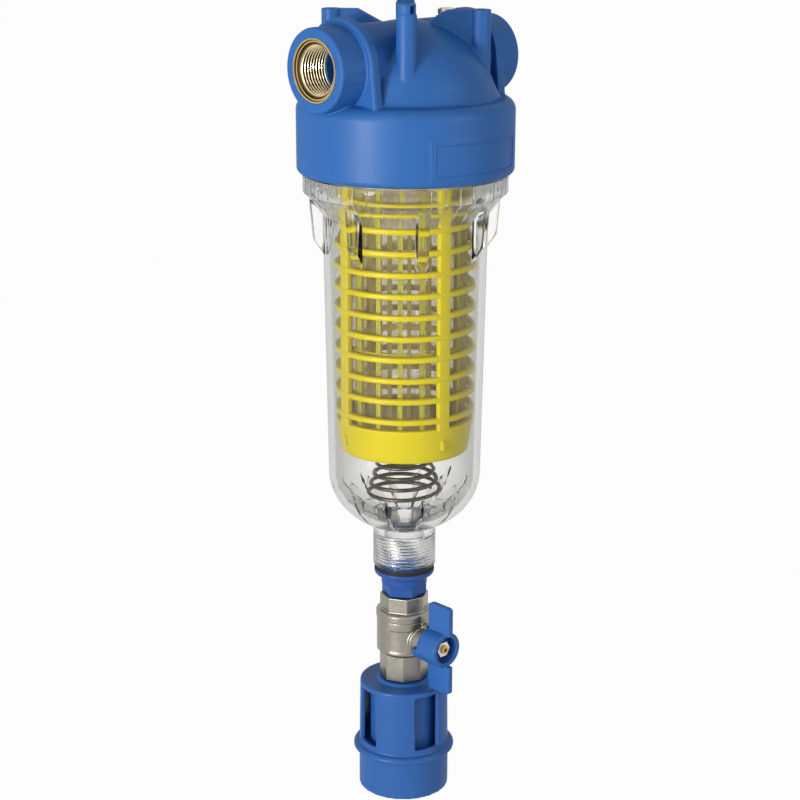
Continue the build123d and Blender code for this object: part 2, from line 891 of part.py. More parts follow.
def make_stem_washer():
    """Slip washer between the stem's foot and the boss."""
    low = stem_foot_reach + stem_foot_h + face_gap
    return stem_plane * tube(stem_foot_r, stem_r + shaft_gap, low, low + washer_h)


def make_handle():
    """Butterfly handle: recessed hub, two wings along the flow and a stop skirt round the boss."""
    hub_top = hub_reach + hub_h
    floor = hub_reach + hub_floor_h
    handle = rod(hub_r, hub_reach, hub_top)
    handle = fillet(handle.edges().group_by(Axis.Z)[-1], hub_round)
    wing_face = outline(
        (hub_r - 1, wing_reach),
        (wing_span, wing_reach),
        (wing_span, wing_reach + wing_width),
        (hub_r - 1, wing_reach + wing_width),
    )
    wing = extrude(wing_face, wing_thick / 2, both=True)
    tips = wing.edges().filter_by(Axis.Y).filter_by(lambda edge: edge.center().X > wing_span - 1)
    wing = fillet(tips, wing_corner)
    handle += around(wing, 2, 90)
    handle -= rod(hub_recess_r, floor, hub_top + 5)
    hole = rod(stem_r + shaft_gap, hub_reach, floor)
    hole &= Pos(0, 0, floor) * Box(stem_flats + 2 * shaft_gap, 4 * stem_r, 4 * hub_floor_h)
    handle -= hole
    skirt_start = stop_lug_turn + stop_lug_angle + handle_travel + stop_play
    skirt_end = stop_lug_turn - stop_play + 360
    handle += sector(
        hub_r,
        hub_r - stop_skirt_wall,
        hub_reach - stop_skirt_h,
        hub_reach,
        skirt_start,
        skirt_end - skirt_start,
    )
    return stem_plane * handle


def make_nut():
    """Flanged hexagon nut that holds the handle."""
    low = hub_reach + hub_floor_h
    nut = rod(nut_flange_r, low, low + nut_flange_h)
    nut += Pos(0, 0, low) * extrude(RegularPolygon(nut_flats / 2, 6, major_radius=False), nut_h)
    return stem_plane * (nut - rod(stem_end_r + shaft_gap, low, low + nut_h))


def make_drain_cup():
    """Air-gap cup: threaded nipple, lid, four pillars, inner funnel, flange and pipe spigot."""
    flange_top = spigot_length + cup_flange_h
    lid_low = cup_top_z - cup_lid_h
    cup = turned(
        (spigot_r - spigot_wall, 0),
        (spigot_r, 0),
        (spigot_r, spigot_length),
        (cup_flange_r - cup_bevel, spigot_length),
        (cup_flange_r, spigot_length + cup_bevel),
        (cup_flange_r, flange_top - cup_flange_bevel),
        (cup_flange_r - cup_flange_bevel, flange_top),
        (cup_r + cup_draft, flange_top),
        (cup_r, cup_top_z - cup_bevel),
        (cup_r - cup_bevel, cup_top_z),
        (cup_boss_r, cup_top_z),
        (cup_boss_r - cup_bevel, cup_top_z + cup_boss_h),
        (drain_bore_r, cup_top_z + cup_boss_h),
        (drain_bore_r, lid_low),
        (cup_r - cup_wall, lid_low),
        (cup_r - cup_wall, flange_top),
        (spigot_r - spigot_wall, spigot_length),
    )
    window_low = flange_top + window_sill
    window = sector(
        2 * cup_r, funnel_r + 1, window_low, lid_low, -window_angle / 2, window_angle
    )
    cup -= around(window, window_count, window_turn)
    cup += turned(
        (funnel_r - funnel_wall, funnel_mouth_z),
        (funnel_r, funnel_mouth_z),
        (funnel_r, lid_low),
        (drain_bore_r, lid_low),
        (funnel_r - funnel_wall, lid_low - funnel_r / 2),
    )
    thread_r = valve_thread_r - thread_gap
    cup += tube(thread_r, drain_bore_r, cup_top_z, valve_low_z + valve_thread_h - 8 * face_gap)
    return cup


os.makedirs("parts", exist_ok=True)
write("head", make_head())
write("inlet_insert", make_insert(-1))
write("outlet_insert", make_insert(1))
write("vent_screw", make_vent_screw())
write("vent_seal", make_vent_seal())
write("bowl", make_bowl())
write("bowl_seal", make_bowl_seal())
write("cartridge_cage", make_cage())
write("filter_mesh", make_mesh())
write("cartridge_core", make_core())
write("cartridge_collar", make_collar())
write("cartridge_seal", make_cartridge_seal())
write("cartridge_spring", make_spring())
write("drain_adapter", make_adapter())
write("adapter_seal", make_adapter_seal())
write("valve_body", make_valve_body())
write("valve_end_cap", make_end_cap())
write("seat_upper", make_seat(1))
write("seat_lower", make_seat(-1))
write("valve_ball", make_ball())
write("valve_stem", make_stem())
write("stem_seal", make_stem_seal())
write("stem_washer", make_stem_washer())
write("valve_handle", make_handle())
write("handle_nut", make_nut())
write("drain_cup", make_drain_cup())
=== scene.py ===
"""Self cleaning water filter: blue head, clear bowl, yellow cartridge, drain valve and air-gap cup.
One section per piece or group of like pieces, from the camera and the floor to the drain cup.
Lengths in the sections are in millimetres times mm, in the frame's own axes: Z runs up through the
filter and the ports lie along X."""
import math
import bpy
import bmesh
import numpy as np
from mathutils import Matrix, Vector


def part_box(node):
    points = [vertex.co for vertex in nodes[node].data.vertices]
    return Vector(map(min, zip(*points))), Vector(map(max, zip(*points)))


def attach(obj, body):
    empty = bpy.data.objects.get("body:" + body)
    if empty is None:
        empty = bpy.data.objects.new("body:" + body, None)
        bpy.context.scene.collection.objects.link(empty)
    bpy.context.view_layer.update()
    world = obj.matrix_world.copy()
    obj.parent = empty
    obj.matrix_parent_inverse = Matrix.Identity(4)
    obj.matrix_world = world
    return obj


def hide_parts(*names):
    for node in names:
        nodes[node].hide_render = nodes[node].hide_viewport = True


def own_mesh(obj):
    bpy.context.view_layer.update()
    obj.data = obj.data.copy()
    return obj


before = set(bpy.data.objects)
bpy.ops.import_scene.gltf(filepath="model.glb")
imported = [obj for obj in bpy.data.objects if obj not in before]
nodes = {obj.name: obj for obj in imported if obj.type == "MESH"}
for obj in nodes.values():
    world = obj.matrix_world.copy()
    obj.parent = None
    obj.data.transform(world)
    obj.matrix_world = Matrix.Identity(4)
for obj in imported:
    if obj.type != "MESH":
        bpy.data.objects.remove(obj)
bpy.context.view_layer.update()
mm = 0.001

# Camera, at the photograph's viewing angle: a long lens, a little above the head and turned
# so that the inlet port looks past the lens on the left.
camera_azimuth = math.radians(-43.5)
camera_pitch = math.radians(16.5)
camera_distance = 978.1 * mm
camera_height = 514.8 * mm
aim_offset = math.radians(0.15)
camera_roll = math.radians(0.15)
camera_data = bpy.data.cameras.new("camera")
camera_data.sensor_width = 36.0
camera_data.lens = 85.5
camera = bpy.data.objects.new("camera", camera_data)
bpy.context.scene.collection.objects.link(camera)
camera.location = (
    math.sin(camera_azimuth) * camera_distance,
    -math.cos(camera_azimuth) * camera_distance,
    camera_height,
)
turn = Matrix.Rotation(camera_azimuth + aim_offset, 4, "Z")
tilt = Matrix.Rotation(math.pi / 2 - camera_pitch, 4, "X")
roll = Matrix.Rotation(camera_roll, 4, "Z")
camera.matrix_world = Matrix.Translation(camera.location) @ turn @ tilt @ roll
bpy.context.scene.camera = camera
bpy.context.scene.view_settings.view_transform = "Standard"

# Studio: a white floor that keeps a soft shadow, low enough for the bowl to be unscrewed above it, a
# white room with a dimmer ceiling, a low narrow lamp and a wide higher one on the left of the filter,
# and a weaker one to the right of the camera.
floor_drop = 25.0 * mm
floor_reach = 30.0
floor_white = 0.97
level_light = 0.48
overhead_light = 0.24
overhead_from = 0.8
lamp_aim = Vector((0, 0, 0.25))


def new_material(name):
    """Material with an empty node tree apart from its output; returns the material and the tree."""
    material = bpy.data.materials.new(name)
    material.use_nodes = True
    tree = material.node_tree
    tree.nodes.clear()
    tree.nodes.new("ShaderNodeOutputMaterial")
    return material, tree


def node(tree, kind, **settings):
    """Adds a node; a setting whose name is a socket of the node goes to that socket, others to the node."""
    made = tree.nodes.new("ShaderNode" + kind)
    for key, value in settings.items():
        if hasattr(made, key):
            setattr(made, key, value)
    for key, value in settings.items():
        if not hasattr(made, key):
            made.inputs[key.replace("_", " ")].default_value = value
    return made


def join(tree, source, output, target, socket):
    """Links one node's output to another node's input, both by name or number."""
    tree.links.new(source.outputs[output], target.inputs[socket])


def worked_out(tree, kind, operation, *terms):
    """Math or VectorMath node; each term is a value, or a (node, output) pair that feeds that input."""
    made = node(tree, kind, operation=operation)
    for place, term in enumerate(terms):
        if isinstance(term, tuple) and isinstance(term[0], bpy.types.Node):
            join(tree, term[0], term[1], made, place)
        else:
            made.inputs[place].default_value = term
    return made


def spread(tree, source, output, low, high, first=0.0, last=1.0):
    """Goes from low to high as the source's output goes from first to last, and no further."""
    made = node(tree, "MapRange", clamp=True, From_Min=first, From_Max=last, To_Min=low, To_Max=high)
    join(tree, source, output, made, 0)
    return made


def mixed(tree, share, first, second):
    """Mix of two shaders; the share of the second is a number or another node's first output."""
    mix = node(tree, "MixShader")
    if isinstance(share, float):
        mix.inputs[0].default_value = share
    else:
        join(tree, share, 0, mix, 0)
    join(tree, first, 0, mix, 1)
    join(tree, second, 0, mix, 2)
    return mix


def white_share(tree):
    """1 for the camera's rays and for those that shiny or clear pieces pass on; 0 for light on matt ones."""
    path = node(tree, "LightPath")
    passed = worked_out(tree, "Math", "ADD", (path, "Is Glossy Ray"), (path, "Is Transmission Ray"))
    before = worked_out(tree, "Math", "LESS_THAN", (path, "Diffuse Depth"), 0.5)
    total = worked_out(tree, "Math", "MULTIPLY_ADD", (passed, 0), (before, 0), (path, "Is Camera Ray"))
    passed.use_clamp = True
    total.use_clamp = True
    return total


floor_material, tree = new_material("studio_floor")
shade = node(tree, "BsdfDiffuse", Color=(0.86, 0.86, 0.86, 1))
glow = node(tree, "Emission", Color=(1, 1, 1, 1), Strength=1.0)
share = worked_out(tree, "Math", "MULTIPLY", (white_share(tree), 0), floor_white)
join(tree, mixed(tree, share, shade, glow), 0, tree.nodes["Material Output"], "Surface")
floor_mesh = bpy.data.meshes.new("floor")
corners = np.array([(-1, -1, 0), (1, -1, 0), (1, 1, 0), (-1, 1, 0)]) * floor_reach - (0, 0, floor_drop)
floor_mesh.from_pydata(corners.tolist(), [], [(0, 1, 2, 3)])
floor_mesh.materials.append(floor_material)
floor = bpy.data.objects.new("floor", floor_mesh)
bpy.context.scene.collection.objects.link(floor)

world = bpy.data.worlds.new("studio")
bpy.context.scene.world = world
world.use_nodes = True
tree = world.node_tree
tree.nodes.clear()
output = tree.nodes.new("ShaderNodeOutputWorld")
place = node(tree, "TexCoord")
split = node(tree, "SeparateXYZ")
join(tree, place, "Generated", split, 0)
climb = spread(tree, split, "Z", level_light, overhead_light, 0.0, overhead_from)
plain = node(tree, "Background", Color=(1, 1, 1, 1))
join(tree, climb, 0, plain, "Strength")
white = node(tree, "Background", Color=(1, 1, 1, 1), Strength=1.0)
join(tree, mixed(tree, white_share(tree), plain, white), 0, output, "Surface")


def lamp(name, azimuth, elevation, distance, size, watts):
    """Area lamp that looks at the middle of the filter from the given side."""
    data = bpy.data.lights.new(name, "AREA")
    data.shape = "RECTANGLE"
    data.size, data.size_y = size
    data.energy = watts
    a, e = math.radians(azimuth), math.radians(elevation)
    away = Vector((math.sin(a) * math.cos(e), -math.cos(a) * math.cos(e), math.sin(e)))
    facing = away.to_track_quat("Z", "Y").to_matrix().to_4x4()
    made = bpy.data.objects.new(name, data)
    made.matrix_world = Matrix.Translation(lamp_aim + away * distance) @ facing
    bpy.context.scene.collection.objects.link(made)


lamp("key_lamp", -84, -1, 1.9, (0.40, 0.42), 22.0)
lamp("left_lamp", -72, 26, 2.0, (0.9, 0.9), 6.5)
lamp("fill_lamp", 14, 18, 2.2, (1.0, 1.0), 9.0)

# Head: one moulding of blue glass-filled plastic, with two ports, four bracket posts and a skirt that
# the bowl screws up into. Its edges are a little round, as they leave the mould, and a hollow fillet
# runs round the dome's foot.
low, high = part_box("head")
head_voxel = 0.5 * mm
head_keep = 0.22
port_z = high.z - 32.1 * mm
dome_z = high.z - 49.5 * mm
arch_draw = 2.2 * mm
arch_near = 40.6 * mm
arch_far = 46.4 * mm
arch_inner_r = 24.0 * mm
arch_foot_z = dome_z + 2.0 * mm
pip_foot_z = high.z - 5.7 * mm
pip_x = 25.9 * mm
pip_y = 27.7 * mm
pip_reach = 4.7 * mm
fillet_turns = 180
fillet_outline = [(44.0, -1.0), (50.6, -1.0), (50.6, 0.0), (49.0, 0.35), (47.9, 1.1)]
fillet_outline += [(47.0, 2.6), (46.2, 4.5), (45.2, 6.6), (44.0, 6.6)]


def spun(profile, turns):
    """Turns an (r, z) profile about Z: x = r cos a, y = r sin a."""
    angle = np.linspace(0, 2 * np.pi, turns, endpoint=False)[None, :]
    r = profile[:, :1] + 0 * angle
    z = profile[:, 1:] + 0 * angle
    return np.stack([r * np.cos(angle), r * np.sin(angle), z], axis=-1)


def close_grid(rows, columns, wrap_rows, wrap_columns):
    """Quads of a grid of points, each as four indices; a wrapped side joins its last line to its first."""
    down = np.arange(rows if wrap_rows else rows - 1)
    across = np.arange(columns if wrap_columns else columns - 1)
    i, j = np.meshgrid(down, across, indexing="ij")
    i_next, j_next = (i + 1) % rows, (j + 1) % columns
    corners = [i * columns + j, i_next * columns + j, i_next * columns + j_next, i * columns + j_next]
    return np.stack(corners, axis=-1).reshape(-1, 4)


def fit_head(shape):
    """Draws the arches behind the ports in towards the ports' axis, gives the slots of the two pips a
    quarter turn, to the front and to the back, and adds the fillet as a ring about Z."""
    x, y, z = np.array([point.co for point in shape.verts]).T
    up = np.maximum(z - port_z, 0)
    reach = np.maximum(np.hypot(y, up), mm)
    is_arch = (abs(x) > arch_near) & (abs(x) < arch_far) & (z > arch_foot_z) & (reach > arch_inner_r)
    draw = is_arch * arch_draw / reach
    side = np.copysign(1.0, x)
    off_x, off_y = x - side * pip_x, y - side * pip_y
    is_pip = (z > pip_foot_z) & (np.hypot(off_x, off_y) < pip_reach)
    new_x = np.where(is_pip, side * (pip_x - off_y), x)
    new_y = np.where(is_pip, side * (pip_y + off_x), y * (1 - draw))
    new_z = z - up * draw
    for point, place in zip(shape.verts, np.stack([new_x, new_y, new_z], axis=-1)):
        point.co = place
    grid = spun(np.array(fillet_outline) * mm + (0, dome_z), fillet_turns).swapaxes(0, 1)
    ring = [shape.verts.new(place) for place in grid.reshape(-1, 3)]
    for quad in close_grid(fillet_turns, len(fillet_outline), True, True):
        shape.faces.new([ring[corner] for corner in quad])


def softened(name, source, voxel, rounds, keep=1.0, change=None):
    """Copy of a solid whose sharp edges are rounded: rebuilt on a fine grid, smoothed, swollen back to
    its own width, and thinned. A change, if there is one, works on the copy first."""
    mesh = nodes[source].data.copy()
    shape = bmesh.new()
    shape.from_mesh(mesh)
    bmesh.ops.remove_doubles(shape, verts=shape.verts, dist=0.002 * mm)
    if change:
        change(shape)
    shape.to_mesh(mesh)
    shape.free()
    mesh.materials.clear()
    piece = bpy.data.objects.new(name, mesh)
    bpy.context.scene.collection.objects.link(piece)
    grid = piece.modifiers.new("grid", "REMESH")
    grid.mode = "VOXEL"
    grid.voxel_size = voxel
    for label, factor in (("smooth", 0.5), ("swell", -0.52)):
        step = piece.modifiers.new(label, "SMOOTH")
        step.factor = factor
        step.iterations = rounds
    if keep < 1.0:
        thin = piece.modifiers.new("thin", "DECIMATE")
        thin.ratio = keep
    evaluated = piece.evaluated_get(bpy.context.evaluated_depsgraph_get())
    piece.data = bpy.data.meshes.new_from_object(evaluated)
    piece.modifiers.clear()
    piece.data.shade_smooth()
    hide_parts(source)
    return piece


def finish_piece(piece, material, body):
    """Gives a piece its material and body."""
    piece.data.materials.clear()
    piece.data.materials.append(material)
    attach(piece, body)


def uneven(tree, surface, colour, tone_and_edge_shade, gloss, wide, fine, strength, depth):
    """A wide noise spreads a surface's colour between two shares and its gloss between two roughnesses,
    and a fine noise gives it marks of a given depth. Each noise is (scale, detail)."""
    place = node(tree, "TexCoord")
    blotch = node(tree, "TexNoise", Scale=wide[0], Detail=wide[1])
    marks = node(tree, "TexNoise", Scale=fine[0], Detail=fine[1])
    join(tree, place, "Object", blotch, "Vector")
    join(tree, place, "Object", marks, "Vector")
    paint = node(tree, "Mix", data_type="RGBA", blend_type="MULTIPLY")
    paint.inputs[0].default_value = 1.0
    paint.inputs[6].default_value = (*colour, 1)
    join(tree, spread(tree, blotch, 0, *tone_and_edge_shade), 0, paint, 7)
    join(tree, paint, 2, surface, "Base Color")
    join(tree, spread(tree, blotch, 0, *gloss), 0, surface, "Roughness")
    bump = node(tree, "Bump", Strength=strength, Distance=depth * mm)
    join(tree, marks, 0, bump, "Height")
    join(tree, bump, 0, surface, "Normal")
    join(tree, surface, 0, tree.nodes["Material Output"], "Surface")


def moulded(name, colour, roughness, grain, mottle, depth=0.02):
    """Moulded plastic: fine grain in millimetres of depth, slightly uneven gloss and colour, and a shine
    that is weaker where the surface is seen from the side."""
    material, tree = new_material(name)
    surface = node(tree, "BsdfPrincipled", IOR=1.5)
    slant = node(tree, "LayerWeight", Blend=0.5)
    shine = spread(tree, slant, "Facing", 0.28, 0.03, 0.15, 0.75)
    join(tree, shine, 0, surface, "Specular IOR Level")
    tone_and_edge_shade = (1 - mottle, 1 + mottle)
    gloss = (roughness - 0.05, roughness + 0.07)
    uneven(tree, surface, colour, tone_and_edge_shade, gloss, (45.0, 4.0), (grain, 3.0), 0.35, depth)
    return material


head_blue = moulded("head_blue", (0.025, 0.126, 0.392), 0.42, 1500.0, 0.05, 0.05)
head = softened("head_moulding", "head", head_voxel, 3, head_keep, fit_head)
finish_piece(head, head_blue, "head_body")

# Brass inserts: two turned bushes moulded into the ports, with a real pipe thread inside and a step
# at the mouth that catches the light. Their colour carries painted highlights on the thread's crests
# and painted shade in its roots and in the recess of the mouth.
insert_pitch = 1.814 * mm
insert_depth = 1.1 * mm
insert_mouth_h = 2.4 * mm
insert_mouth_r = 14.9 * mm
insert_bore_r = 12.06 * mm
insert_face_r = 15.9 * mm
insert_turns = 144
same_radius = 0.01 * mm


def surfaces(name, patches, crease=35.0):
    """Object made of grid surfaces: each patch is (points[rows, columns, 3], wrap rows, wrap columns)."""
    points, faces, start = [], [], 0
    for grid, wrap_rows, wrap_columns in patches:
        rows, columns = grid.shape[:2]
        points.append(grid.reshape(-1, 3))
        faces.append(close_grid(rows, columns, wrap_rows, wrap_columns) + start)
        start += rows * columns
    points, faces = np.concatenate(points), np.concatenate(faces)
    mesh = bpy.data.meshes.new(name)
    mesh.vertices.add(len(points))
    mesh.vertices.foreach_set("co", points.ravel())
    mesh.loops.add(faces.size)
    mesh.loops.foreach_set("vertex_index", faces.ravel().astype(np.int32))
    mesh.polygons.add(len(faces))
    mesh.polygons.foreach_set("loop_start", np.arange(0, faces.size, 4, dtype=np.int32))
    mesh.update(calc_edges=True)
    shape = bmesh.new()
    shape.from_mesh(mesh)
    bmesh.ops.remove_doubles(shape, verts=shape.verts, dist=0.0005 * mm)
    bmesh.ops.recalc_face_normals(shape, faces=shape.faces)
    shape.to_mesh(mesh)
    shape.free()
    mesh.shade_smooth()
    mesh.set_sharp_from_angle(angle=math.radians(crease))
    piece = bpy.data.objects.new(name, mesh)
    bpy.context.scene.collection.objects.link(piece)
    return piece


def straight(*corners):
    """Points of a profile of straight stretches, without its end; each corner is (r, z, points up to the
    next corner)."""
    stretches = []
    for (r, z, steps), (next_r, next_z, _) in zip(corners, corners[1:]):
        share = np.linspace(0, 1, steps, endpoint=False)[:, None]
        stretches.append(np.array((r, z)) * (1 - share) + np.array((next_r, next_z)) * share)
    return np.concatenate(stretches)


def arc(centre, radius, first, last, steps):
    """Points of a round stretch of a profile, in degrees, without its last one."""
    angle = np.radians(np.linspace(first, last, steps, endpoint=False))
    return np.stack([centre[0] + radius * np.cos(angle), centre[1] + radius * np.sin(angle)], axis=-1)


def thread_wave(along, angle, pitch):
    """Rounded V thread between 0 and 1 that climbs one pitch in each turn."""
    phase = (along / pitch - angle / (2 * np.pi)) % 1.0
    return np.clip(1.25 - np.abs(phase - 0.5) * 3.0, 0, 1)


def threaded_bush(length):
    """Bush along Z from its face: outside, stepped mouth, and a bore cut outwards by the thread."""
    grid = spun(straight(
        (insert_face_r, length, 6),
        (insert_face_r, 0, 2),
        (insert_mouth_r + 0.2 * mm, 0, 2),
        (insert_mouth_r, 0.2 * mm, 3),
        (insert_mouth_r - 0.3 * mm, 0.9 * mm, 2),
        (insert_mouth_r - 1.0 * mm, 1.0 * mm, 3),
        (insert_mouth_r - 1.4 * mm, 1.9 * mm, 4),
        (insert_bore_r, insert_mouth_h, 190),
        (insert_bore_r, length, 4),
        (insert_face_r, length, 0),
    ), insert_turns)
    angle = np.linspace(0, 2 * np.pi, insert_turns, endpoint=False)[None, :]
    r, z = np.hypot(grid[..., 0], grid[..., 1]), grid[..., 2]
    in_bore = (r < insert_bore_r + same_radius) & (z > insert_mouth_h - 0.001 * mm)
    run = np.clip((z - insert_mouth_h * 0.7) / mm, 0, 1) * np.clip((length - z) / mm, 0, 1)
    cut = np.where(in_bore, insert_depth * thread_wave(z, angle, insert_pitch) * run, 0)
    grid[..., 0] += cut * np.cos(angle)
    grid[..., 1] += cut * np.sin(angle)
    return grid


def turned_metal(name, colour, roughness, lines, tarnish, depth=0.01):
    """Turned or cast metal: fine marks of a given depth in millimetres, and a faint uneven tarnish."""
    material, tree = new_material(name)
    surface = node(tree, "BsdfPrincipled", Metallic=1.0)
    tone_and_edge_shade = (1 - tarnish, 1.0)
    gloss = (roughness - 0.06, roughness + 0.1)
    uneven(tree, surface, colour, tone_and_edge_shade, gloss, (220.0, 5.0), (lines, 2.0), 0.3, depth)
    return material


def brass_painted_light(name, middle_z):
    """Brass whose colour follows the distance from the port's axis: painted highlights on the thread's
    crests, painted shade in its roots and in the recess of the mouth, and a plain gold face."""
    material = turned_metal(name, (0.62, 0.42, 0.17), 0.22, 500.0, 0.2)
    tree = material.node_tree
    place = node(tree, "TexCoord")
    across = worked_out(tree, "VectorMath", "MULTIPLY_ADD", (place, "Object"), (0, 1, 1), (0, 0, -middle_z))
    reach = worked_out(tree, "VectorMath", "LENGTH", (across, 0))
    share = spread(tree, reach, "Value", 0.0, 1.0, insert_bore_r, insert_face_r)
    ramp = node(tree, "ValToRGB")
    # Painted light: near white on the crests as painted highlight, dark brown in the roots and the mouth's
    # recess as painted shade.
    dark, gold = (0.10, 0.065, 0.02), (0.66, 0.50, 0.24)
    stops = [(0.0, (0.95, 0.84, 0.58)), (0.10, (0.80, 0.64, 0.34)), (0.20, dark), (0.46, dark)]
    stops += [(0.50, gold), (0.62, gold), (0.67, dark), (0.75, dark), (0.80, (0.62, 0.45, 0.17))]
    while len(ramp.color_ramp.elements) < len(stops):
        ramp.color_ramp.elements.new(0.5)
    for mark, (stop, colour) in zip(ramp.color_ramp.elements, stops):
        mark.position = stop
        mark.color = (*colour, 1)
    join(tree, share, 0, ramp, 0)
    join(tree, ramp, 0, tree.nodes["Mix"], 6)
    return material


for port, side in (("inlet", -1), ("outlet", 1)):
    low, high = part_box(port + "_insert")
    grid = threaded_bush(high.x - low.x)
    face_x = low.x if side < 0 else high.x
    axis_z = (low.z + high.z) / 2
    placed = np.stack([face_x - side * grid[..., 2], side * grid[..., 1], grid[..., 0] + axis_z], axis=-1)
    insert = surfaces(port + "_bush", [(placed, True, True)], 25.0)
    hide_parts(port + "_insert")
    finish_piece(insert, brass_painted_light(port + "_brass", axis_z), "head_body")

# Vent screw and seals: a slotted bleed screw of plated brass with a rubber ring under its head, and
# the filter's other rubber rings. They keep their solids and only get a material.
def dress(material, *names):
    """Gives solids that stay as they are their material."""
    for name in names:
        nodes[name].data.materials.clear()
        nodes[name].data.materials.append(material)


plated = turned_metal("plated_metal", (0.62, 0.59, 0.53), 0.3, 900.0, 0.12)
black_rubber = moulded("black_rubber", (0.012, 0.012, 0.013), 0.55, 900.0, 0.1)
dress(plated, "vent_screw")
dress(black_rubber, "vent_seal", "bowl_seal", "adapter_seal", "stem_seal", "cartridge_seal")

# Bowl: one injection moulding of clear plastic. A coarse thread and a fluted flange at the top,
# eight wrench lugs under it, a drafted wall, a round bottom with twelve blades, and a threaded neck.
bowl_low, bowl_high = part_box("bowl")
neck_z = bowl_low.z
bowl_top_z = bowl_high.z
neck_r = 17.05 * mm
neck_round = 1.2 * mm
neck_bore_r = 13.2 * mm
neck_thread_top_z = neck_z + 18.5 * mm
neck_thread_depth = 0.9 * mm
neck_thread_run = 1.5 * mm
neck_sink = 0.6 * mm
throat_r = 11.0 * mm
round_z = neck_z + 54.0 * mm
round_depth = 33.5 * mm
wall_low_r = 41.0 * mm
wall_high_r = 43.4 * mm
wall = 3.5 * mm
shoulder_z = round_z + 141.0 * mm
shoulder_r = 50.6 * mm
shoulder_rise = 9.3 * mm
shoulder_bend = 0.5 * mm
inner_shoulder_z = shoulder_z + 1.1 * mm
flange_z = shoulder_z + 12.3 * mm
flange_top_z = flange_z + 8.7 * mm
flange_r = 53.5 * mm
flange_round = 0.5 * mm
mouth_r = 46.6 * mm
mouth_foot_z = flange_z + 2.9 * mm
screw_r = 51.0 * mm
screw_pitch = 6.0 * mm
screw_depth = 1.1 * mm
screw_low_z = flange_top_z + 1.0 * mm
screw_high_z = bowl_top_z - 1.0 * mm
screw_low_run = 4.0 * mm
screw_high_run = 2.0 * mm
flute_count = 42
flute_depth = 0.3 * mm
flute_half = 0.62 * mm
flute_top_z = flange_top_z - 0.2 * mm
flute_run = 6.0 * mm
lug_count = 8
lug_turn = math.radians(-122.5)
lug_half = 2.8 * mm
lug_edge = 0.5 * mm
lug_middle_r = 48.0 * mm
lug_top_r = 50.9 * mm
lug_low_r = 48.6 * mm
lug_top_z = flange_z - 0.6 * mm
lug_corner_z = flange_z - 24.9 * mm
lug_foot_z = flange_z - 32.8 * mm
blade_count = 12
blade_turn = math.radians(-118.5)
blade_half = 0.8 * mm
blade_middle_r = 28.0 * mm
blade_tip_z = round_z - 6.0 * mm
blade_seat_z = round_z - 16.0 * mm
blade_foot_z = round_z - 26.0 * mm
blade_crest = np.array([
    (throat_r, blade_foot_z - 1.5 * mm),
    (12.0 * mm, blade_foot_z),
    (17.5 * mm, blade_seat_z),
    (23.0 * mm, blade_seat_z),
    (36.4 * mm, blade_tip_z),
    (wall_low_r, blade_tip_z),
])


def wall_at(z):
    """Outer radius of the drafted wall at a height."""
    return wall_low_r + (wall_high_r - wall_low_r) * (z - round_z) / (shoulder_z - round_z)


def bowl_bottom(wide, tall, first, last, steps):
    """Stretch of the round bottom between two angles: r = wide cos a, z = tall sin a below its centre."""
    angle = np.linspace(first, last, steps, endpoint=False)
    return np.stack([wide * np.cos(angle), round_z + tall * np.sin(angle)], axis=-1)


def bowl_outside():
    """Outer (r, z) profile from the neck's end up to the rim."""
    bottom = bowl_bottom(wall_low_r, round_depth, -math.acos(neck_r / wall_low_r), 0, 22)
    share = np.linspace(0, 1, 9, endpoint=False)
    bend = shoulder_bend * share * (1 - share)
    reach = wall_high_r + (shoulder_r - wall_high_r) * share - bend
    shoulder = np.stack([reach, shoulder_z + shoulder_rise * share + bend], axis=-1)
    return np.concatenate([
        straight((neck_bore_r, neck_z, 2), (neck_r - neck_round, neck_z, 0)),
        arc((neck_r - neck_round, neck_z + neck_round), neck_round, -90, 0, 4),
        straight((neck_r, neck_z + neck_round, 3), (bottom[0, 0], bottom[0, 1] - neck_sink, 0)),
        bottom,
        straight(
            (wall_low_r, round_z, 16),
            (wall_at(lug_foot_z), lug_foot_z, 14),
            (wall_high_r, shoulder_z, 0),
        ),
        shoulder,
        straight(
            (shoulder_r, shoulder_z + shoulder_rise, 4),
            (flange_r, flange_z, 4),
            (flange_r, flange_top_z - flange_round, 0),
        ),
        arc((flange_r - flange_round, flange_top_z - flange_round), flange_round, 0, 90, 3),
        straight(
            (flange_r - flange_round, flange_top_z, 2),
            (screw_r, flange_top_z, 38),
            (screw_r, bowl_top_z, 0),
        ),
    ])


def bowl_inside():
    """Inner (r, z) profile from the rim down to the neck's end."""
    inner_low_r = wall_low_r - wall
    depth = round_depth - wall
    last = math.acos(throat_r / inner_low_r)
    return np.concatenate([
        straight(
            (screw_r, bowl_top_z, 2),
            (mouth_r, bowl_top_z, 4),
            (mouth_r, mouth_foot_z, 4),
            (wall_high_r - wall, inner_shoulder_z, 14),
            (inner_low_r, round_z, 0),
        ),
        bowl_bottom(inner_low_r, depth, 0, -last, 34),
        straight(
            (throat_r, round_z - depth * math.sin(last), 4),
            (throat_r, neck_thread_top_z, 2),
            (neck_bore_r, neck_thread_top_z, 62),
            (neck_bore_r, neck_z, 0),
        ),
    ])


def nearest_copy(angle, count, start):
    """Signed angle from each angle to the nearest of count evenly spread places."""
    step = 2 * np.pi / count
    return (angle - start + step / 2) % step - step / 2


def bowl_angles():
    """Angles of the grid: across each flute and between them, and on the sides of each lug and blade."""
    rows = (
        (flute_count, 0, (-1.0, -0.55, 0, 0.55, 1.0, 4.6, 8.3), flute_half / flange_r),
        (lug_count, lug_turn, (-1.25, -1.0, -0.86, -0.5, 0.5, 0.86, 1.0, 1.25), lug_half / lug_middle_r),
        (blade_count, blade_turn, (-1.5, -1.0, 1.0, 1.5), blade_half / blade_middle_r),
    )
    angles = []
    for count, start, places, half in rows:
        copies = start + np.arange(count)[:, None] * 2 * np.pi / count
        angles.append((copies + np.array(places) * half).ravel())
    return np.unique(np.round(np.concatenate(angles) % (2 * np.pi), 6))


